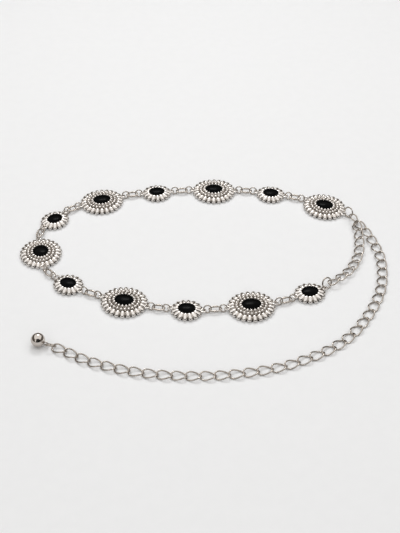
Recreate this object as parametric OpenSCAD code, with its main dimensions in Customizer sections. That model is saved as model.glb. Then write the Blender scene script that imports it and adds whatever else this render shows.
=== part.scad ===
// Waist chain of twelve oval cast medallions set with black stones, joined by small links,
// closed on a curb chain whose free tail ends in a ball. It lies on a flat surface, z = 0.

/* [Large medallion] */
// Length of a large medallion along the chain, over its outer beads
large_length = 35; // [32:0.5:38]
// Width of a large medallion across the chain, over its outer beads
large_width = 32; // [29:0.5:35]
// Length of the large medallion's stone
large_stone_length = 15; // [13:0.5:16]
// Width of the large medallion's stone
large_stone_width = 12.6; // [11:0.2:13.6]
// Number of long beads in the outer ring, and of small beads in the middle ring
large_outer_beads = 24; // [20:1:26]
// Length of a long bead in the outer ring
outer_bead_length = 5.6; // [5:0.1:6]
// Width of a long bead in the outer ring
outer_bead_width = 3.3; // [2.8:0.1:3.5]
// Diameter of a small bead in the middle ring
middle_bead_d = 2.3; // [1.8:0.1:2.6]
// Number of claw beads round the stone
claw_beads = 18; // [14:1:20]
// Length of a claw bead
claw_bead_length = 2.8; // [2.5:0.1:3.4]
// Width of a claw bead
claw_bead_width = 2.2; // [1.8:0.1:2.4]

/* [Small medallion] */
// Length of a small medallion along the chain, over its beads
small_length = 23.5; // [21:0.5:26]
// Width of a small medallion across the chain, over its beads
small_width = 22; // [19.5:0.5:24]
// Length of the small medallion's stone
small_stone_length = 14.5; // [12.5:0.5:15.5]
// Width of the small medallion's stone
small_stone_width = 12.4; // [10.8:0.2:13]
// Number of long beads round the small medallion
small_beads = 16; // [13:1:17]
// Length of a long bead on the small medallion
small_bead_length = 6.4; // [5.8:0.1:7]
// Width of a long bead on the small medallion
small_bead_width = 3.3; // [2.8:0.1:3.6]

/* [Medallion heights] */
// Height of the seat on which a large stone rests
large_seat_z = 3.3; // [2.8:0.1:3.8]
// Height of the seat on which a small stone rests
small_seat_z = 2.6; // [2.2:0.1:3]
// Rise of a stone's dome above its seat
stone_rise = 2.7; // [2:0.1:3.2]
// Thickness of the cast plate at its rim
plate_rim = 1.1; // [0.8:0.1:1.4]
// Gap between a stone and the metal round it
stone_gap = 0.08; // [0.05:0.01:0.15]

/* [Medallion loops] */
// Wire of the flat loop at each end of a medallion
loop_wire = 1.2; // [1:0.05:1.4]
// Outside diameter of the flat loop
loop_d = 4.6; // [4.4:0.1:5]

/* [Joining links] */
// Outside diameter of the round jump rings between medallions
jump_d = 6.4; // [6:0.1:7]
// Wire of the round jump rings
jump_wire = 1; // [0.8:0.05:1.1]
// Length of the oval link between two jump rings
oval_length = 10; // [9:0.1:10.8]
// Width of the oval link
oval_width = 4.7; // [4.4:0.1:5.2]
// Wire of the oval link
oval_wire = 1.1; // [0.9:0.05:1.2]
// Play where two links hook into each other
link_play = 0.3; // [0.26:0.01:0.32]

/* [Curb chain] */
// Length of a curb link over its wire
curb_length = 12.3; // [11:0.1:13]
// Width of a curb link over its wire
curb_width = 8.7; // [8:0.1:9.4]
// Wire of a curb link
curb_wire = 1.1; // [0.9:0.05:1.2]
// Height of the twist in a curb link, up and down from its middle
curb_twist = 1; // [0.95:0.05:1.2]
// Number of links in the tail, counted from the clasp ring
tail_links = 38; // [20:1:40]

/* [Rings and ball] */
// Outside diameter of the clasp ring
clasp_d = 9; // [8.4:0.1:9.6]
// Wire of the clasp ring
clasp_wire = 1.1; // [0.9:0.05:1.2]
// Opening in the clasp ring
clasp_opening = 0.5; // [0.3:0.1:0.8]
// Outside diameter of the ring at the far end of the medallion row
end_ring_d = 9.2; // [8.6:0.1:9.8]
// Outside diameter of the ring at the end of the tail
tail_ring_d = 8; // [7.4:0.1:8.6]
// Wire of the row's end ring and of the tail's ring
ring_wire = 1.1; // [0.9:0.05:1.2]
// Diameter of the ball at the end of the tail
ball_d = 10; // [8:0.1:11]
// Outside diameter of the ball's eye
eye_d = 3.8; // [3.4:0.1:4.2]
// Wire of the ball's eye
eye_wire = 0.8; // [0.6:0.05:0.9]

/* [Hidden] */
$fn = 48;
large_count = 6;
small_count = 6;
join_count = large_count + small_count - 1;

metal = "silver";
onyx = [0.06, 0.06, 0.07];

// Shift that puts the origin under the middle of the part's box
to_middle = [3.9, -5.8];

// Where the row of medallions lies: chosen points from the clasp ring round to the curb chain
row_points = [
    [113.4, 73.1], [105, 80], [96, 85], [76, 94], [53, 101], [30, 105], [6, 106], [-20, 105], [-46, 102],
    [-68, 98], [-90, 90], [-109, 80], [-123, 67], [-131, 49], [-132, 29], [-126, 10], [-112, -7],
    [-90, -21], [-65, -31], [-40, -38], [-15, -41], [10, -40], [34, -37], [56, -31], [76, -22],
    [90, -13], [97, -7], [104, 0], [110, 9], [114, 19], [116, 29]];
// Where the tail lies: chosen points from its fourth link to the ball
tail_points = [
    [130, 33], [132, 22], [132, 11], [131, 0], [129, -12],
    [125, -25], [118, -40], [109, -55], [98, -69], [85, -80], [69, -89], [51, -97], [31, -102],
    [11, -105], [-9, -106], [-30, -105], [-50, -102], [-68, -97], [-86, -90],
    [-101, -81], [-110, -77], [-120, -75]];
row_route = [for (p = row_points) p + to_middle];
tail_route = [for (p = tail_points) p + to_middle];
// Slack in each set of joining links along the row, in millimetres
row_slack = [1.2, 0, 0, 1, 2.4, 2.4, 0.8, 0.2, 0.6, 0.2, 1];

// Rolls about the chain's own direction: zero is flat on the surface
jump_roll = 70;
oval_roll = 12;
end_ring_roll = 66;
tail_ring_roll = 38;
eye_roll = 100;
// The crowded place at the clasp ring, where links lie over each other, each link chosen by hand as
// [x, y from the clasp ring, height, roll, heading, pitch]: the tail's first links, the loop chain's last
clasp_pose = [0, 0, 4.35, 74, -47, -7];
tail_first = [[3.4, -7, 3.3, -26, -77, 3], [8, -14.3, 1.7, 2, -59, 1], [11.6, -23.2, 1.65, 2, -69, 0]];
loop_last = [[3.2, -44.7, 2.3, -12, 80, -2], [4.4, -35.4, 2.6, -22, 87, -2],
    [4.8, -26.1, 3, -34, 87, -4], [4.7, -16.5, 3.3, -28, 98, 0]];
// Rolls of the loop chain's links at the row's end ring, and below its last chosen links
loop_first_roll = -24;
loop_upper_roll = -9;
settle_links = 3;

// Height of the medallions' loops, and how far the oval links hang below the jump rings' middles
loop_z = 2.6;
oval_drop = 0.25;

// Sizes of the middle line of each wire
jump_r = (jump_d - jump_wire) / 2;
loop_r = (loop_d - loop_wire) / 2;
oval_a = (oval_length - oval_wire) / 2;
oval_b = (oval_width - oval_wire) / 2;
curb_a = (curb_length - curb_wire) / 2;
curb_b = (curb_width - curb_wire) / 2;
clasp_r = (clasp_d - clasp_wire) / 2;
end_ring_r = (end_ring_d - ring_wire) / 2;
tail_ring_r = (tail_ring_d - ring_wire) / 2;
eye_r = (eye_d - eye_wire) / 2;

// How far a loop's middle stands out from the end of its medallion
loop_out = loop_wire / 4;
large_reach = large_length / 2 + loop_out + loop_r;
small_reach = small_length / 2 + loop_out + loop_r;

// Distance from a link's middle to the point where it hooks its neighbour
function hook(half_line, wire) = half_line - wire / 2 - link_play / 2;
// The same for a leaning ring whose neighbour, of the other wire, lies lower than its middle by drop
function ring_hook(line_r, wire, roll, other, drop) =
    let (reach = line_r - (wire + other) / 2 - link_play, low = drop / sin(roll))
    sqrt(reach * reach - low * low) + (other + link_play) / 2;
// Height of a leaning ring's middle when it rests on the surface
function ring_z(line_r, wire, roll) = line_r * abs(sin(roll)) + wire / 2;
// Height of a curb link's middle when it rests on the surface, rolled
function curb_z(roll) = curb_b * abs(sin(roll)) + curb_twist * cos(roll) + curb_wire / 2;
jump_z = ring_z(jump_r, jump_wire, jump_roll);
end_ring_z = ring_z(end_ring_r, ring_wire, end_ring_roll);
tail_ring_z = ring_z(tail_ring_r, ring_wire, tail_ring_roll);
jump_to_loop = ring_hook(jump_r, jump_wire, jump_roll, loop_wire, jump_z - loop_z);
jump_step = jump_to_loop + ring_hook(jump_r, jump_wire, jump_roll, oval_wire, oval_drop);

// Smooth curve through a list of chosen points, as a fine polyline
curve_steps = 8;
function blend(a, b, c, d, t) =
    0.5 * (2 * b + (c - a) * t + (2 * a - 5 * b + 4 * c - d) * t * t + (3 * b - a - 3 * c + d) * t * t * t);
function curve(points) = let (last = len(points) - 1) concat(
    [for (i = [0 : last - 1]) for (j = [0 : curve_steps - 1])
        blend(points[max(i - 1, 0)], points[i], points[i + 1], points[min(i + 2, last)], j / curve_steps)],
    [points[last]]);

// Steps of given lengths along a polyline, each measured straight from point to point
function seek(line, from, reach, k) =
    k >= len(line) - 2 || norm(line[k + 1] - from) >= reach ? k : seek(line, from, reach, k + 1);
function crossing(a, b, from, reach) =
    let (u = b - a, v = a - from, p = u * u, q = u * v, r = v * v - reach * reach)
    a + u * (sqrt(max(q * q - p * r, 0)) - q) / p;
function walk(line, steps, from, k = 0, i = 0) = i == len(steps) ? [] :
    let (k2 = seek(line, from, steps[i], k), to = crossing(line[k2], line[k2 + 1], from, steps[i]))
    concat([to], walk(line, steps, to, k2, i + 1));

// Lengths along a polyline
function spans(line) = [for (i = [1 : len(line) - 1]) norm(line[i] - line[i - 1])];
function total(list, i = 0) = i >= len(list) ? 0 : list[i] + total(list, i + 1);
function at_length(line, s, k = 0) =
    let (step = line[k + 1] - line[k], d = norm(step))
    s <= d || k >= len(line) - 2 ? line[k] + step * s / d : at_length(line, s - d, k + 1);

// Direction of a step, in degrees
function heading(a, b) = atan2(b[1] - a[1], b[0] - a[0]);

// Row of medallions: hooking points from the clasp ring on
row_line = curve(row_route);
clasp_at = row_route[0];
clasp_hook = 2.6;
row_steps = concat(
    [clasp_hook],
    [for (i = [0 : join_count]) each concat(
        [2 * hook(i % 2 == 0 ? large_reach : small_reach, loop_wire)],
        i == join_count ? [] : [
            jump_step - row_slack[i] / 3,
            2 * hook(oval_a, oval_wire) - row_slack[i] / 3,
            jump_step - row_slack[i] / 3])],
    [ring_hook(end_ring_r, ring_wire, end_ring_roll, loop_wire, end_ring_z - loop_z) +
        ring_hook(end_ring_r, ring_wire, end_ring_roll, curb_wire, end_ring_z - curb_z(loop_first_roll))]);
row_hooks = walk(row_line, row_steps, clasp_at);
row_end = row_hooks[len(row_hooks) - 1];

// Curb links chosen by hand at the clasp ring, and the point where such a link hooks the next one
curb_pitch = 2 * hook(curb_a, curb_wire);
nominal_pitch = 9.6;
function at_clasp(p) = [
    clasp_at[0] + p[0] * curb_pitch / nominal_pitch, clasp_at[1] + p[1] * curb_pitch / nominal_pitch,
    p[2], p[3], p[4], p[5]];
function pose_end(p, side) = [p[0], p[1]] + side * curb_pitch / 2 * [cos(p[4]), sin(p[4])];

// Pose of a curb link that rests on the surface, between two hooking points
function lying(a, b, roll) = [(a[0] + b[0]) / 2, (a[1] + b[1]) / 2, curb_z(roll), roll, heading(a, b), 0];

// Tail: hooking points from its first chosen links to the ball's eye
tail_first_poses = [for (p = tail_first) at_clasp(p)];
tail_walked = tail_links - len(tail_first);
tail_steps = concat(
    [for (i = [1 : tail_walked]) curb_pitch],
    [ring_hook(tail_ring_r, ring_wire, tail_ring_roll, curb_wire, tail_ring_z - curb_z(0)) +
        hook(tail_ring_r, ring_wire)]);
tail_from = pose_end(tail_first_poses[len(tail_first) - 1], 1);
tail_line = curve(concat([tail_from], tail_route));
tail_hooks = concat([tail_from], walk(tail_line, tail_steps, tail_from));
tail_poses = concat(tail_first_poses,
    [for (i = [1 : tail_walked]) lying(tail_hooks[i - 1], tail_hooks[i], 0)]);

// Part of the curb chain that closes the waist loop, from the row's end ring up to the tail's first link
loop_last_poses = [for (p = loop_last) at_clasp(p)];
loop_top = pose_end(loop_last_poses[0], -1);
function past_row_end(p) = p[0] > row_end[0] + curb_pitch && p[1] > row_end[1];
loop_points = concat(
    [row_end],
    [for (p = row_route) if (past_row_end(p) && p[1] < loop_top[1] - curb_pitch) p],
    [loop_top]);
loop_line = curve(loop_points);
loop_span = total(spans(loop_line));
// The links may stretch by this share of one link before one more is added
stretch_share = 0.1;
loop_walked = ceil(loop_span / curb_pitch - stretch_share);
loop_hooks = [for (i = [0 : loop_walked]) at_length(loop_line, loop_span * i / loop_walked)];
function fading(first, i) = first * max(0, 1 - i / settle_links);
loop_poses = concat(
    [for (i = [1 : loop_walked]) lying(loop_hooks[i - 1], loop_hooks[i],
        fading(loop_first_roll, i - 1) + fading(loop_upper_roll, loop_walked - i))],
    loop_last_poses);

// Puts a link that is drawn along +X onto the step from a to b, its middle at a share of the way
module place(a, b, z, roll, share = 0.5, side = 0) {
    at = a + (b - a) * share;
    translate([at[0], at[1], z]) rotate([0, 0, heading(a, b)]) translate([0, side, 0]) rotate([roll, 0, 0])
        children();
}
// Sideways step that lets a leaning ring pass through a loop that lies lower than its middle
function side_of(roll, drop) = drop / tan(roll);

// Rolls lean the far edge of a link up on both sides of the loop
last_back_medallion = 6;
function lean(medallion, roll) = (medallion < last_back_medallion ? -1 : 1) * roll;

module ring(line_r, wire) {
    rotate_extrude() translate([line_r, 0]) circle(d = wire);
}

// Long bead along +X: a waisted grain with round ends
bead_waist = 0.94;
module grain(length, width) {
    for (side = [-1, 1]) translate([side * (length - width) / 2, 0, 0]) sphere(d = width);
    rotate([0, 90, 0]) cylinder(d = width * bead_waist, h = length - width, center = true);
}

// Oval plan of a medallion between its stone's edge, share 0, and its outer edge, share 1
function oval(length, width, stone_l, stone_w, share, t) = [
    cos(t) * (stone_l + (length - stone_l) * share) / 2,
    sin(t) * (stone_w + (width - stone_w) * share) / 2];

// Cast plate: flat steps, each [share of the band that it spans, bottom, top], with a pocket for the stone
plate_sides = 36;
module oval_step(length, width, stone_l, stone_w, share, bottom, top) {
    translate([0, 0, bottom]) linear_extrude(top - bottom)
        polygon([for (j = [0 : plate_sides - 1])
            oval(length, width, stone_l, stone_w, share, 360 * (j + 0.5) / plate_sides)]);
}
module plate(length, width, stone_l, stone_w, steps) {
    for (p = steps) oval_step(length, width, stone_l, stone_w, p[0], p[1], p[2]);
}

// Casting: plate and beads with a pocket for the stone, and a loop at each end whose hole is clear of beads
module casting(length, width, stone_l, stone_w, seat_z, reach) {
    difference() {
        children();
        oval_step(length, width, stone_l, stone_w, 2 * stone_gap / (length - stone_l), seat_z,
            seat_z + 2 * stone_rise);
        for (side = [-1, 1]) translate([side * (reach - loop_r), 0, -plate_rim])
            cylinder(r = loop_r, h = 2 * loop_z + plate_rim);
    }
    for (side = [-1, 1]) translate([side * (reach - loop_r), 0, loop_z]) ring(loop_r, loop_wire);
}

large_band = (large_length - large_stone_length) / 2;
small_band = (small_length - small_stone_length) / 2;

// Tilts of the long beads, outer end down
outer_tilt = 18;
claw_tilt = 24;
small_tilt = 20;
// Shares of a bead's width: the plate's rim lies this far in from the beads' outer ends
rim_inset = 0.45;
// The small beads of the middle ring are sunk this far into the plate
middle_sink = 0.4;
// A claw bead's middle lies this far above the seat, and its inner end reaches this far over the stone
claw_lift = 0.25;
claw_inset = 0.38;
// The cup round the stone is this wide at the beads, and this high above the seat
cup_width = 0.33;
cup_height = 0.25;

// Beads set round an oval, each leaning down outwards by tilt
module bead_ring(count, length, width, stone_l, stone_w, share, z, tilt, first = 0) {
    for (i = [0 : count - 1]) {
        t = 360 * (i + first) / count;
        q = oval(length, width, stone_l, stone_w, share, t);
        translate([q[0], q[1], z]) rotate([0, 0, atan2(q[1], q[0])]) rotate([0, tilt, 0]) children();
    }
}

module large_setting_body() {
    outer_share = 1 - outer_bead_length / 2 / large_band * cos(outer_tilt);
    middle_share = outer_share - (outer_bead_length + middle_bead_d) / 2 / large_band;
    claw_share = (claw_bead_length / 2 - claw_bead_width * claw_inset) / large_band;
    outer_z = outer_bead_width / 2 + (outer_bead_length - outer_bead_width) / 2 * sin(outer_tilt);
    step_z = large_seat_z - middle_bead_d * middle_sink;
    casting(large_length, large_width, large_stone_length, large_stone_width, large_seat_z, large_reach) {
        plate(large_length, large_width, large_stone_length, large_stone_width, [
            [1 - outer_bead_width * rim_inset / large_band, 0, plate_rim],
            [outer_share, plate_rim, step_z],
            [claw_share + claw_bead_width * cup_width / large_band, step_z,
                large_seat_z + claw_bead_width * cup_height]]);
        bead_ring(large_outer_beads, large_length, large_width, large_stone_length, large_stone_width,
            outer_share, outer_z, outer_tilt)
            grain(outer_bead_length, outer_bead_width);
        bead_ring(large_outer_beads, large_length, large_width, large_stone_length, large_stone_width,
            middle_share, large_seat_z, 0, 0.5)
            sphere(d = middle_bead_d);
        bead_ring(claw_beads, large_length, large_width, large_stone_length, large_stone_width,
            claw_share, large_seat_z + claw_bead_width * claw_lift, claw_tilt)
            grain(claw_bead_length, claw_bead_width);
    }
}

module stone_body(length, width, seat_z) {
    translate([0, 0, seat_z + stone_gap]) intersection() {
        scale([length / 2, width / 2, stone_rise]) sphere(r = 1, $fn = 96);
        translate([-length, -length, 0]) cube([2 * length, 2 * length, 2 * stone_rise]);
    }
}

module small_setting_body() {
    share = 1 - small_bead_length / 2 / small_band * cos(small_tilt);
    bead_z = small_bead_width / 2 + (small_bead_length - small_bead_width) / 2 * sin(small_tilt);
    casting(small_length, small_width, small_stone_length, small_stone_width, small_seat_z, small_reach) {
        plate(small_length, small_width, small_stone_length, small_stone_width, [
            [1 - small_bead_width * rim_inset / small_band, 0, plate_rim],
            [small_bead_width * cup_width / small_band, plate_rim,
                small_seat_z + small_bead_width * cup_height]]);
        bead_ring(small_beads, small_length, small_width, small_stone_length, small_stone_width,
            share, bead_z, small_tilt)
            grain(small_bead_length, small_bead_width);
    }
}

// Medallions are counted along the row from 0, large and small in turn, with four hooking points to each
function row_hook(medallion) = 4 * medallion;
module on_row(medallion) {
    k = row_hook(medallion);
    place(row_hooks[k], row_hooks[k + 1], 0, 0) children();
}
module large_setting(i) {
    color(metal) on_row(2 * (i - 1)) large_setting_body();
}
module large_stone(i) {
    color(onyx) on_row(2 * (i - 1)) stone_body(large_stone_length, large_stone_width, large_seat_z);
}
module small_setting(i) {
    color(metal) on_row(2 * i - 1) small_setting_body();
}
module small_stone(i) {
    color(onyx) on_row(2 * i - 1) stone_body(small_stone_length, small_stone_width, small_seat_z);
}

// Oval link along +X: two half rings and two straight sides
module oval_link() {
    straight = oval_a - oval_b;
    for (side = [0, 180]) rotate([0, 0, side]) {
        translate([straight, 0, 0]) rotate([0, 0, -90]) rotate_extrude(angle = 180)
            translate([oval_b, 0]) circle(d = oval_wire);
        translate([-straight, oval_b, 0]) rotate([0, 90, 0]) cylinder(d = oval_wire, h = 2 * straight);
    }
}

module join_links(i) {
    k = row_hook(i - 1) + 1;
    near_loop = jump_to_loop / jump_step;
    side = side_of(lean(i - 1, jump_roll), jump_z - loop_z);
    color(metal) {
        place(row_hooks[k], row_hooks[k + 1], jump_z, lean(i - 1, jump_roll), near_loop, side)
            ring(jump_r, jump_wire);
        place(row_hooks[k + 1], row_hooks[k + 2], jump_z - oval_drop, lean(i - 1, oval_roll))
            oval_link();
        place(row_hooks[k + 2], row_hooks[k + 3], jump_z, lean(i - 1, jump_roll), 1 - near_loop, side)
            ring(jump_r, jump_wire);
    }
}

// The clasp ring opens by a slit on its far side
slit_at = 45;
module clasp_ring() {
    slit = clasp_opening / clasp_r * 180 / PI;
    color(metal) translate([clasp_at[0], clasp_at[1], clasp_pose[2]])
        rotate([clasp_pose[3], clasp_pose[5], clasp_pose[4]]) rotate([0, 0, slit_at + slit / 2])
        rotate_extrude(angle = 360 - slit) translate([clasp_r, 0]) circle(d = clasp_wire);
}

module row_end_ring() {
    a = row_hooks[len(row_hooks) - 2];
    to_loop = ring_hook(end_ring_r, ring_wire, end_ring_roll, loop_wire, end_ring_z - loop_z);
    side = side_of(end_ring_roll, end_ring_z - loop_z);
    color(metal) place(a, row_end, end_ring_z, end_ring_roll, to_loop / norm(row_end - a), side)
        ring(end_ring_r, ring_wire);
}

// One curb link: a twisted oval of wire, given as rings of points round its middle line
curb_segments = 14;
curb_sides = 5;
function curb_line(t) = [curb_a * cos(t), curb_b * sin(t), -curb_twist * sin(2 * t)];
function unit(v) = v / norm(v);
function curb_points(pose) =
    let (z = pose[2], roll = pose[3], turn = pose[4], pitch = pose[5])
    [for (i = [0 : curb_segments - 1]) let (
        t = 360 * i / curb_segments,
        along = unit(curb_line(t + 1) - curb_line(t - 1)),
        side = unit(cross(along, [0, 0, 1])),
        up = cross(side, along))
        for (j = [0 : curb_sides - 1]) let (
            w = 360 * (j + 0.5) / curb_sides,
            p = curb_line(t) + curb_wire / 2 * (cos(w) * side + sin(w) * up),
            y = p[1] * cos(roll) - p[2] * sin(roll),
            h = p[1] * sin(roll) + p[2] * cos(roll),
            x = p[0] * cos(pitch) + h * sin(pitch))
            [pose[0] + x * cos(turn) - y * sin(turn), pose[1] + x * sin(turn) + y * cos(turn),
                z + h * cos(pitch) - p[0] * sin(pitch)]];
function curb_faces(first) =
    [for (i = [0 : curb_segments - 1]) for (j = [0 : curb_sides - 1]) let (
        i2 = (i + 1) % curb_segments, j2 = (j + 1) % curb_sides,
        p = first + i * curb_sides + j, q = first + i2 * curb_sides + j,
        r = first + i2 * curb_sides + j2, s = first + i * curb_sides + j2)
        each [[p, q, r], [p, r, s]]];
module curb_chain(poses) {
    per_link = curb_segments * curb_sides;
    polyhedron(
        points = [for (p = poses) each curb_points(p)],
        faces = [for (i = [0 : len(poses) - 1]) each curb_faces(i * per_link)]);
}

module loop_chain() {
    color(metal) curb_chain(loop_poses);
}
module tail_chain() {
    color(metal) curb_chain(tail_poses);
}
module tail_ring() {
    a = tail_hooks[tail_walked];
    b = tail_hooks[tail_walked + 1];
    to_chain = ring_hook(tail_ring_r, ring_wire, tail_ring_roll, curb_wire, tail_ring_z - curb_z(0));
    color(metal) place(a, b, tail_ring_z, tail_ring_roll, to_chain / norm(b - a))
        ring(tail_ring_r, ring_wire);
}
module ball() {
    a = tail_hooks[tail_walked];
    b = tail_hooks[tail_walked + 1];
    along = unit(b - a);
    eye_at = b + along * hook(eye_r, eye_wire);
    ball_r = ball_d / 2;
    ball_reach = sqrt(ball_r * ball_r - pow(ball_r - tail_ring_z, 2));
    ball_at = eye_at + along * (eye_r + ball_reach);
    color(metal) {
        translate([ball_at[0], ball_at[1], ball_r]) sphere(d = ball_d);
        translate([eye_at[0], eye_at[1], tail_ring_z]) rotate([0, 0, heading(a, b)])
            rotate([eye_roll, 0, 0]) ring(eye_r, eye_wire);
    }
}

for (i = [1 : large_count]) {
    large_setting(i);
    large_stone(i);
}
for (i = [1 : small_count]) {
    small_setting(i);
    small_stone(i);
}
for (i = [1 : join_count]) join_links(i);
clasp_ring();
row_end_ring();
loop_chain();
tail_chain();
tail_ring();
ball();
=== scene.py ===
import math

import bpy
import numpy as np
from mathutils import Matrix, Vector


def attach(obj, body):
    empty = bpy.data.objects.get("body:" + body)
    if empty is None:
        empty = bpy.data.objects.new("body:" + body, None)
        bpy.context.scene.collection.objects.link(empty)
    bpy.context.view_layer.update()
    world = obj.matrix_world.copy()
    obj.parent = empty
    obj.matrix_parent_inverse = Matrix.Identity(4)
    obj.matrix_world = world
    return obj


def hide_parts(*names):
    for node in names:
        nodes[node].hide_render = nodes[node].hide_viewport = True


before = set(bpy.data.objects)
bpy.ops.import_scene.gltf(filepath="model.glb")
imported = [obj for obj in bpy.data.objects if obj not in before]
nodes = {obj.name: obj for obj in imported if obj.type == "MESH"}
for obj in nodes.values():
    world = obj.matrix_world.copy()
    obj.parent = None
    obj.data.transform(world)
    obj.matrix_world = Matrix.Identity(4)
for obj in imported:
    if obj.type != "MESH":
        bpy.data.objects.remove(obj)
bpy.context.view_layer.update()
MM = 0.001

# Ovals of the castings: length and width outside, then of the stone; sizes in millimetres, tilts in degrees
LARGE = (35.0, 32.0, 15.0, 12.6)
SMALL = (23.5, 22.0, 14.5, 12.4)
LARGE_COUNT, SMALL_COUNT, LINK_SETS = 6, 6, 11

# Seats of the stones, the rise of their domes and the gap under them
LARGE_SEAT, SMALL_SEAT = 3.3, 2.6
STONE_RISE, STONE_GAP = 2.7, 0.08
DOME_FULLNESS = 0.9

# Long beads: their middle lies at level, plus arm times the sine of the tilt; those at the loops are cut
LARGE_BEADS = dict(count=24, length=5.6, tilt=18, level=1.6, arm=1.2)
SMALL_BEADS = dict(count=16, length=6.4, tilt=20, level=1.65, arm=1.55)
LONG_WIDTH, LONG_HEIGHT, LONG_POWER = 3.7, 3.3, 2.8
END_CUT = 0.7

# Middle ring of a large casting, this far inside the middles of its outer beads
MIDDLE_BEADS, MIDDLE_D, MIDDLE_STEP = 24, 2.6, 3.95

# Claw beads; lift and inset are shares of their width, above the seat and over the stone
CLAW_BEADS, CLAW_LENGTH, CLAW_WIDTH, CLAW_TILT = 18, 2.8, 2.2, 24
CLAW_POWER, CLAW_LIFT, CLAW_INSET = 2.2, 0.25, 0.38

# Edge of the cast plates: how far in from the ends of the beads it lies, and its heights
LARGE_RIM_INSET, SMALL_RIM_INSET = 1.44, 1.485
FOOT_TOP, EDGE_TOP, RIM_TOP = 0.15, 1.0, 1.1

# Loops of the castings
LOOP_R, LOOP_WIRE, LOOP_Z, LOOP_OUT = 1.7, 1.2, 2.6, 0.3

# Links: from this length over width a link is an oval; its long sides bulge out and swell in their middle
OVAL_RATIO, OVAL_BULGE, OVAL_SWELL = 1.15, 0.35, 0.4
CURB_WIRE, CURB_TWIST = 1.1, 1.0

# Faces round the wires, and the angles from which edges stay sharp
LINK_SIDES, RING_SIDES, CURB_SIDES = 14, 16, 12
METAL_SHARP, STONE_SHARP = 50, 60


# Shapes
class Shape:
    """Collects vertices in millimetres and faces, and makes one object of them."""

    def __init__(self):
        self.verts, self.faces, self.count = [], [], 0

    def add(self, verts, faces, matrix=None, offset=(0, 0, 0)):
        v = np.asarray(verts, float)
        if matrix is not None:
            v = v @ np.asarray(matrix).T
        v = v + np.asarray(offset, float)
        self.verts.append(v)
        self.faces += [tuple(int(i) + self.count for i in f) for f in faces]
        self.count += len(v)

    def merge(self, other, matrix, offset):
        self.add(np.concatenate(other.verts), other.faces, matrix, offset)

    def object(self, name, material, sharp=None):
        mesh = bpy.data.meshes.new(name)
        mesh.from_pydata([tuple(p) for p in np.concatenate(self.verts) * MM], [], self.faces)
        mesh.validate()
        mesh.materials.append(material)
        obj = bpy.data.objects.new(name, mesh)
        bpy.context.scene.collection.objects.link(obj)
        mesh.polygons.foreach_set("use_smooth", [True] * len(mesh.polygons))
        if sharp:
            mesh.set_sharp_from_angle(angle=math.radians(sharp))
        return obj


def spin(angle):
    c, s = math.cos(angle), math.sin(angle)
    return np.array([[c, -s, 0], [s, c, 0], [0, 0, 1.0]])


def tip(angle):
    """Turns about Y: the +X end goes down for a positive angle."""
    c, s = math.cos(angle), math.sin(angle)
    return np.array([[c, 0, s], [0, 1, 0], [-s, 0, c]])


def round_turn(steps):
    """Angles of a whole turn in even steps."""
    return 2 * np.pi * np.arange(steps) / steps


def lathe(profile, sides, squash=1.0):
    """Closed body round the X axis from (x, radius) pairs; the first and last radius are 0."""
    verts = [(profile[0][0], 0, 0)]
    for x, r in profile[1:-1]:
        for j in range(sides):
            a = 2 * math.pi * j / sides
            verts.append((x, r * math.cos(a), r * math.sin(a) * squash))
    verts.append((profile[-1][0], 0, 0))
    rings = len(profile) - 2
    last = len(verts) - 1
    faces = []
    for j in range(sides):
        k = (j + 1) % sides
        faces.append((0, 1 + k, 1 + j))
        for i in range(rings - 1):
            a, b = 1 + i * sides, 1 + (i + 1) * sides
            faces.append((a + j, a + k, b + k, b + j))
        a = 1 + (rings - 1) * sides
        faces.append((last, a + j, a + k))
    return verts, faces


def grain(length, width, power=3.4, squash=1.0, steps=12, sides=16):
    """A bead along X: an ellipsoid for power 2, blunter above it; squash is its height over its width."""
    profile = []
    for i in range(steps + 1):
        x = -math.cos(math.pi * i / steps)
        r = (1 - abs(x) ** power) ** (1 / power)
        profile.append((x * length / 2, 0 if i in (0, steps) else r * width / 2))
    return lathe(profile, sides, squash)


def shorter(length, width, cut):
    """A long bead that lacks cut at its outer end."""
    verts, faces = grain(length - cut, width)
    return np.array(verts) - (cut / 2, 0, 0), faces


def tube(line, radius, sides):
    """Closed tube round a closed line of points, with one radius or one for each point."""
    line = np.asarray(line, float)
    n = len(line)
    along = np.roll(line, -1, 0) - np.roll(line, 1, 0)
    along /= np.linalg.norm(along, axis=1)[:, None]
    normal = line - line.mean(0)
    normal -= (normal * along).sum(1)[:, None] * along
    normal /= np.linalg.norm(normal, axis=1)[:, None]
    other = np.cross(along, normal)
    a = round_turn(sides)
    radius = np.broadcast_to(radius, n)[:, None, None]
    verts = (line[:, None] + radius * (np.cos(a)[None, :, None] * normal[:, None]
             + np.sin(a)[None, :, None] * other[:, None])).reshape(-1, 3)
    faces = []
    for i in range(n):
        i2 = (i + 1) % n
        for j in range(sides):
            j2 = (j + 1) % sides
            faces.append((i * sides + j, i2 * sides + j, i2 * sides + j2, i * sides + j2))
    return verts, faces


def circle(radius, steps=48):
    t = round_turn(steps)
    return np.stack([radius * np.cos(t), radius * np.sin(t), 0 * t], 1)


def oval_link(half, b, radius, end_steps=25, side_steps=15):
    """Oval of wire: round ends of radius b at half from its middle, and long sides that swell."""
    t = np.linspace(-np.pi / 2, np.pi / 2, end_steps)
    end = np.stack([half + b * np.cos(t), b * np.sin(t), 0 * t], 1)
    x = np.linspace(half, -half, side_steps)[1:-1]
    rise = 1 - (x / half) ** 2
    side = np.stack([x, b + OVAL_BULGE * rise, 0 * x], 1)
    turned = np.array([-1, -1, 1])
    thick = np.concatenate([np.ones(len(end)), 1 + OVAL_SWELL * rise])
    return np.concatenate([end, side, end * turned, side * turned]), radius * np.tile(thick, 2)


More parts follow.
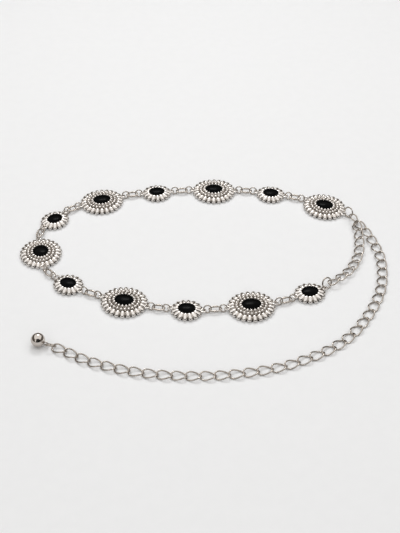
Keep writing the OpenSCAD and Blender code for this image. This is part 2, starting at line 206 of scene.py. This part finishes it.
# Places of the CAD solids
def islands(obj):
    """The vertices of each separate solid of a CAD node, in millimetres."""
    mesh = obj.data
    co = np.empty(len(mesh.vertices) * 3)
    mesh.vertices.foreach_get("co", co)
    co = co.reshape(-1, 3) / MM
    keys, weld = {}, np.empty(len(co), int)
    for i, p in enumerate(np.round(co, 3).tolist()):
        weld[i] = keys.setdefault(tuple(p), len(keys))
    parent = list(range(len(keys)))

    def root(i):
        while parent[i] != i:
            parent[i] = parent[parent[i]]
            i = parent[i]
        return i

    for e in mesh.edges:
        a, b = root(weld[e.vertices[0]]), root(weld[e.vertices[1]])
        if a != b:
            parent[a] = b
    points = np.array(list(keys))
    groups = {}
    for i in range(len(points)):
        groups.setdefault(root(i), []).append(i)
    return [points[g] for g in groups.values()]


def middle_and_axes(points):
    """Centre, own axes and spans of a solid, longest first; the axes are columns of a right-handed turn."""
    middle = points.mean(0)
    _, vectors = np.linalg.eigh(np.cov((points - middle).T))
    axes = vectors[:, ::-1]
    if axes[2, 2] < 0:
        axes[:, 2] *= -1
    axes[:, 1] = np.cross(axes[:, 2], axes[:, 0])
    local = (points - middle) @ axes
    centre = middle + axes @ ((local.min(0) + local.max(0)) / 2)
    return centre, axes, local.max(0) - local.min(0)


def finish_piece(obj, slot, *replaced):
    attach(obj, "root")
    if replaced:
        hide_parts(*replaced)


# Materials; noise scales are per metre
BROAD_SCALE, BROAD_DETAIL, FINE_DETAIL = 120.0, 3.0, 5.0
TONE_LOW, TONE_HIGH = 0.35, 0.65
SHINE_LOW, SHINE_HIGH = 0.3, 0.7
BUMP_DEPTH = 0.0001
STONE_SPECULAR = 0.035


def noise(tree, scale, detail):
    coord = tree.nodes.new("ShaderNodeTexCoord")
    tex = tree.nodes.new("ShaderNodeTexNoise")
    tex.inputs["Scale"].default_value = scale
    tex.inputs["Detail"].default_value = detail
    tree.links.new(coord.outputs["Object"], tex.inputs["Vector"])
    return tex


def ramp(tree, source, low, high):
    r = tree.nodes.new("ShaderNodeValToRGB")
    first, last = r.color_ramp.elements
    first.position, last.position = TONE_LOW, TONE_HIGH
    first.color = (*low, 1)
    last.color = (*high, 1)
    tree.links.new(source, r.inputs["Fac"])
    return r


def spread(tree, source, low, high):
    m = tree.nodes.new("ShaderNodeMapRange")
    m.inputs["From Min"].default_value = SHINE_LOW
    m.inputs["From Max"].default_value = SHINE_HIGH
    m.inputs["To Min"].default_value = low
    m.inputs["To Max"].default_value = high
    tree.links.new(source, m.inputs["Value"])
    return m


def surface(name, low, high, rough, metallic, bump, scale, ior=1.5):
    """Colour between low and high in broad patches, with fine changes of gloss and fine lumps."""
    mat = bpy.data.materials.new(name)
    mat.use_nodes = True
    tree = mat.node_tree
    bsdf = tree.nodes["Principled BSDF"]
    bsdf.inputs["Metallic"].default_value = metallic
    bsdf.inputs["IOR"].default_value = ior
    wide = noise(tree, BROAD_SCALE, BROAD_DETAIL)
    fine = noise(tree, scale, FINE_DETAIL)
    tone = ramp(tree, wide.outputs["Fac"], low, high)
    tree.links.new(tone.outputs["Color"], bsdf.inputs["Base Color"])
    shine = spread(tree, fine.outputs["Fac"], *rough)
    tree.links.new(shine.outputs["Result"], bsdf.inputs["Roughness"])
    lumps = tree.nodes.new("ShaderNodeBump")
    lumps.inputs["Strength"].default_value = bump
    lumps.inputs["Distance"].default_value = BUMP_DEPTH
    tree.links.new(fine.outputs["Fac"], lumps.inputs["Height"])
    tree.links.new(lumps.outputs["Normal"], bsdf.inputs["Normal"])
    return mat


def paint_shade_low(mat, colour, low, high):
    """Painted shade low in a casting, under its beads: full below the height low, fading out up to high, in
    metres.
    """
    tree = mat.node_tree
    base = tree.nodes["Principled BSDF"].inputs["Base Color"]
    coord = tree.nodes.new("ShaderNodeTexCoord")
    split = tree.nodes.new("ShaderNodeSeparateXYZ")
    tree.links.new(coord.outputs["Object"], split.inputs["Vector"])
    fade = tree.nodes.new("ShaderNodeMapRange")
    fade.inputs["From Min"].default_value = low
    fade.inputs["From Max"].default_value = high
    tree.links.new(split.outputs["Z"], fade.inputs["Value"])
    mix = tree.nodes.new("ShaderNodeMix")
    mix.data_type = "RGBA"
    mix.inputs["A"].default_value = (*colour, 1)
    tree.links.new(fade.outputs["Result"], mix.inputs["Factor"])
    tree.links.new(base.links[0].from_socket, mix.inputs["B"])
    tree.links.new(mix.outputs["Result"], base)


bright = surface("bright_metal", low=(0.70, 0.665, 0.63), high=(0.79, 0.755, 0.72),
                 rough=(0.11, 0.19), metallic=1.0, bump=0.12, scale=900.0)
# The wires are a darker copy of the bead metal: painted shade that stands in for the dark reflections round
# the edges of the thin wires
shaded_wire_metal = surface("shaded_wire_metal", low=(0.44, 0.395, 0.35), high=(0.53, 0.485, 0.44),
                     rough=(0.10, 0.17), metallic=1.0, bump=0.08, scale=1200.0)
ball_metal = surface("ball_metal", low=(0.54, 0.495, 0.455), high=(0.59, 0.545, 0.505),
                     rough=(0.04, 0.07), metallic=1.0, bump=0.04, scale=600.0)
# The back plate is a darker copy of the bead metal: patina in its hollows, and painted shade between and
# under the beads
back_patina_and_shade = surface("back_metal_patina_and_painted_shade", low=(0.27, 0.24, 0.21), high=(0.40, 0.365, 0.33),
                 rough=(0.38, 0.50), metallic=1.0, bump=0.25, scale=1500.0)
# Painted shade: the foot and edge of the back plate, under the outer beads, go dark towards the floor
paint_shade_low(back_patina_and_shade, colour=(0.03, 0.022, 0.017), low=0.0010, high=0.0022)
black = surface("black_stone", low=(0.001, 0.001, 0.0011), high=(0.002, 0.002, 0.0022),
                rough=(0.19, 0.23), metallic=0.0, bump=0.02, scale=300.0, ior=1.45)
black.node_tree.nodes["Principled BSDF"].inputs["Specular IOR Level"].default_value = STONE_SPECULAR


# Medallions
def band_of(size):
    """Width of the metal band between the stone and the outer edge, along the length."""
    return (size[0] - size[2]) / 2


def oval(size, share, t):
    """Point of an oval between the stone's edge, share 0, and the outer edge, share 1."""
    length, width, stone_l, stone_w = size
    return np.array([math.cos(t) * (stone_l + (length - stone_l) * share) / 2,
                     math.sin(t) * (stone_w + (width - stone_w) * share) / 2])


def bead_ring(shape, size, count, share, z, tilt, bead, first=0.0, end_bead=None):
    """Beads round an oval; end_bead is the shorter one that leaves room at the two loops."""
    for i in range(count):
        q = oval(size, share, 2 * math.pi * (i + first) / count)
        turn = spin(math.atan2(q[1], q[0])) @ tip(math.radians(tilt))
        at_loop = end_bead and i % (count // 2) == 0
        shape.add(*(end_bead if at_loop else bead), turn, (q[0], q[1], z))


def long_beads(shape, size, count, length, tilt, level, arm):
    """Outer ring of long beads that slope down outwards; returns the share of their middles."""
    angle = math.radians(tilt)
    share = 1 - length / 2 / band_of(size) * math.cos(angle)
    bead = grain(length, LONG_WIDTH, LONG_POWER, LONG_HEIGHT / LONG_WIDTH)
    bead_ring(shape, size, count, share, level + arm * math.sin(angle), tilt, bead,
              end_bead=shorter(length, LONG_HEIGHT, END_CUT))
    return share


def end_loops(shape, length):
    for side in (-1, 1):
        shape.add(*tube(circle(LOOP_R), LOOP_WIRE / 2, LINK_SIDES), None,
                  (side * (length / 2 + LOOP_OUT), 0, LOOP_Z))


def plate(size, profile, sides=96):
    """Closed dished plate from (share, z) pairs, from the bottom rim over the top to the middle."""
    verts, faces = [], []
    for share, z in profile:
        for j in range(sides):
            q = oval(size, share, 2 * math.pi * j / sides)
            verts.append((q[0], q[1], z))
    verts += [(0, 0, profile[0][1]), (0, 0, profile[-1][1])]
    n = len(profile)
    for j in range(sides):
        k = (j + 1) % sides
        for i in range(n - 1):
            faces.append((i * sides + j, i * sides + k, (i + 1) * sides + k, (i + 1) * sides + j))
        faces.append((n * sides, k, j))
        faces.append((n * sides + 1, (n - 1) * sides + j, (n - 1) * sides + k))
    return verts, faces


def plate_edge(rim, foot_in, top_in):
    """Start of a plate's profile: a rounded foot, an upright edge and a rounded top of the edge."""
    return [(rim - foot_in, 0), (rim, FOOT_TOP), (rim, EDGE_TOP), (rim - top_in, RIM_TOP)]


def dome(length, width, z, rise, rings=20, sides=72):
    """Smooth cabochon: flat back at z, upright short edge, round top."""
    verts, faces = [], []
    for i in range(rings):
        a = math.pi / 2 * i / rings
        r, h = math.cos(a) ** DOME_FULLNESS, math.sin(a)
        for j in range(sides):
            t = 2 * math.pi * j / sides
            verts.append((length / 2 * r * math.cos(t), width / 2 * r * math.sin(t), z + rise * h))
    verts += [(0, 0, z), (0, 0, z + rise)]
    for j in range(sides):
        k = (j + 1) % sides
        for i in range(rings - 1):
            faces.append((i * sides + j, i * sides + k, (i + 1) * sides + k, (i + 1) * sides + j))
        faces.append((rings * sides, k, j))
        faces.append((rings * sides + 1, (rings - 1) * sides + j, (rings - 1) * sides + k))
    return verts, faces


def large_medallion():
    band = band_of(LARGE)
    beads, back = Shape(), Shape()
    outer = long_beads(beads, LARGE, **LARGE_BEADS)
    middle = outer - MIDDLE_STEP / band
    claw = (CLAW_LENGTH / 2 - CLAW_WIDTH * CLAW_INSET) / band
    bead_ring(beads, LARGE, MIDDLE_BEADS, middle, LARGE_SEAT, 0, grain(MIDDLE_D, MIDDLE_D, power=2.0),
              first=0.5)
    bead_ring(beads, LARGE, CLAW_BEADS, claw, LARGE_SEAT + CLAW_WIDTH * CLAW_LIFT, CLAW_TILT,
              grain(CLAW_LENGTH, CLAW_WIDTH, CLAW_POWER))
    end_loops(beads, LARGE[0])
    # Under the outer beads, under the middle beads, up the cup round the stone, and down into its pocket
    back.add(*plate(LARGE, plate_edge(1 - LARGE_RIM_INSET / band, 0.02, 0.03) + [
        (outer, 1.7), (middle + 0.08, 2.3), (middle - 0.1, 2.6), (claw + 0.12, 2.9),
        (claw + 0.03, 3.7), (0.01, 3.9), (0.008, LARGE_SEAT)]))
    return beads, back


def small_medallion():
    beads, back = Shape(), Shape()
    long_beads(beads, SMALL, **SMALL_BEADS)
    end_loops(beads, SMALL[0])
    # Under the beads, up the cup round the stone, and down into its pocket
    back.add(*plate(SMALL, plate_edge(1 - SMALL_RIM_INSET / band_of(SMALL), 0.04, 0.05) + [
        (0.35, 1.8), (0.2, 2.6), (0.1, 3.2), (0.02, 3.2), (0.016, SMALL_SEAT)]))
    return beads, back


def add_medallions(kind, template, size, seat, count):
    """Puts a casting and its stone on the place of each CAD stone of the kind."""
    beads, back = template
    for i in range(1, count + 1):
        stone_node = f"{kind}_stone_{i}"
        points = np.concatenate(islands(nodes[stone_node]))
        centre, axes, _ = middle_and_axes(points)
        turn = spin(math.atan2(axes[1, 0], axes[0, 0]))
        at = (centre[0], centre[1], 0)
        for part, name, mat, old in ((beads, "beads", bright, [f"{kind}_setting_{i}"]),
                                     (back, "back", back_patina_and_shade, [])):
            s = Shape()
            s.merge(part, turn, at)
            finish_piece(s.object(f"{kind}_{name}_{i}", mat, METAL_SHARP), "metal", *old)
        s = Shape()
        s.add(*dome(size[2], size[3], seat + STONE_GAP, STONE_RISE), turn, at)
        finish_piece(s.object(f"{kind}_cabochon_{i}", black, STONE_SHARP), "onyx", stone_node)


add_medallions("large", large_medallion(), LARGE, LARGE_SEAT, LARGE_COUNT)
add_medallions("small", small_medallion(), SMALL, SMALL_SEAT, SMALL_COUNT)


# Rings, links and chains
def wire_link(points, sides):
    """A ring or an oval link in place of a CAD solid."""
    centre, axes, span = middle_and_axes(points)
    wire = span[2]
    a, b = (span[0] - wire) / 2, (span[1] - wire) / 2
    if a > OVAL_RATIO * b:
        line, radius = oval_link(a - b, b, wire / 2)
    else:
        line, radius = circle((a + b) / 2), wire / 2
    return (*tube(line, radius, sides), axes, centre)


def curb_link(points, sides, steps=52):
    """A twisted oval link in place of a CAD solid."""
    centre, axes, span = middle_and_axes(points)
    a, b = (span[0] - CURB_WIRE) / 2, (span[1] - CURB_WIRE) / 2
    t = round_turn(steps)
    line = np.stack([a * np.cos(t), b * np.sin(t), -CURB_TWIST * np.sin(2 * t)], 1)
    return (*tube(line, CURB_WIRE / 2, sides), axes, centre)


def rebuild(node, name, link, sides):
    """One wire piece that replaces a CAD node, with a link for each of its solids."""
    shape = Shape()
    for solid in islands(nodes[node]):
        shape.add(*link(solid, sides))
    finish_piece(shape.object(name, shaded_wire_metal), "metal", node)


for i in range(1, LINK_SETS + 1):
    rebuild(f"join_links_{i}", f"joining_links_{i}", wire_link, LINK_SIDES)
for node in ("row_end_ring", "tail_ring"):
    rebuild(node, node + "_wire", wire_link, RING_SIDES)
for node in ("loop_chain", "tail_chain"):
    rebuild(node, node + "_links", curb_link, CURB_SIDES)

for node, metal in (("clasp_ring", shaded_wire_metal), ("ball", ball_metal)):
    nodes[node].data.materials.clear()
    nodes[node].data.materials.append(metal)
    for polygon in nodes[node].data.polygons:
        polygon.use_smooth = True


# Floor, and a dark card in front that shows only in reflections; sizes in metres
def plain(name, low, high, rough):
    return surface(name, low, high, rough, metallic=0.0, bump=0.02, scale=60.0)


def slab(name, size, at, material, turn=(0, 0, 0)):
    x, y = size[0] / 2, size[1] / 2
    mesh = bpy.data.meshes.new(name)
    mesh.from_pydata([(-x, -y, 0), (x, -y, 0), (x, y, 0), (-x, y, 0)], [], [(0, 1, 2, 3)])
    mesh.materials.append(material)
    obj = bpy.data.objects.new(name, mesh)
    obj.location, obj.rotation_euler = at, turn
    bpy.context.scene.collection.objects.link(obj)
    return obj


paper = plain("paper", low=(0.84, 0.85, 0.86), high=(0.85, 0.86, 0.87), rough=(0.6, 0.7))
dark = plain("card", low=(0.012, 0.011, 0.010), high=(0.016, 0.015, 0.014), rough=(0.8, 0.9))
slab("floor", size=(6, 6), at=(0, 0, -0.00005), material=paper)
card = slab("dark_card", size=(0.95, 1.1), at=(0.1, -0.7, 0.56), material=dark,
            turn=(math.radians(90), 0, 0))
card.visible_camera = False
card.visible_diffuse = False
card.visible_shadow = False


# Light and camera
def area(name, size, at, target, power):
    light = bpy.data.lights.new(name, "AREA")
    light.shape, light.size, light.size_y = "RECTANGLE", size[0], size[1]
    light.energy = power
    obj = bpy.data.objects.new(name, light)
    obj.location = at
    obj.rotation_mode = "QUATERNION"
    obj.rotation_quaternion = (Vector(target) - Vector(at)).to_track_quat("-Z", "Y")
    bpy.context.scene.collection.objects.link(obj)


area("softbox", size=(2.6, 2.3), at=(0.05, 0.3, 1.0), target=(0.05, 0.3, 0), power=19.0)
area("stone_highlight", size=(0.45, 0.16), at=(-0.05, 0.70, 0.94), target=(0, 0, 0), power=2.6)
area("front_fill", size=(3.2, 1.3), at=(0, -1.7, 0.9), target=(0, 0, 0), power=12.2)

world = bpy.data.worlds.new("studio")
bpy.context.scene.world = world
world.use_nodes = True
backdrop = world.node_tree.nodes["Background"]
backdrop.inputs["Color"].default_value = (0.13, 0.115, 0.10, 1)
backdrop.inputs["Strength"].default_value = 1.0

cam = bpy.data.cameras.new("camera")
cam.sensor_fit, cam.sensor_width, cam.lens = "HORIZONTAL", 36.0, 94.5
cam.clip_start, cam.clip_end = 0.01, 50
eye = bpy.data.objects.new("camera", cam)
eye.location = (-0.00183, -0.60542, 0.512)
eye.rotation_euler = (math.radians(50), 0, 0)
bpy.context.scene.collection.objects.link(eye)
bpy.context.scene.camera = eye
bpy.context.scene.view_settings.view_transform = "Standard"
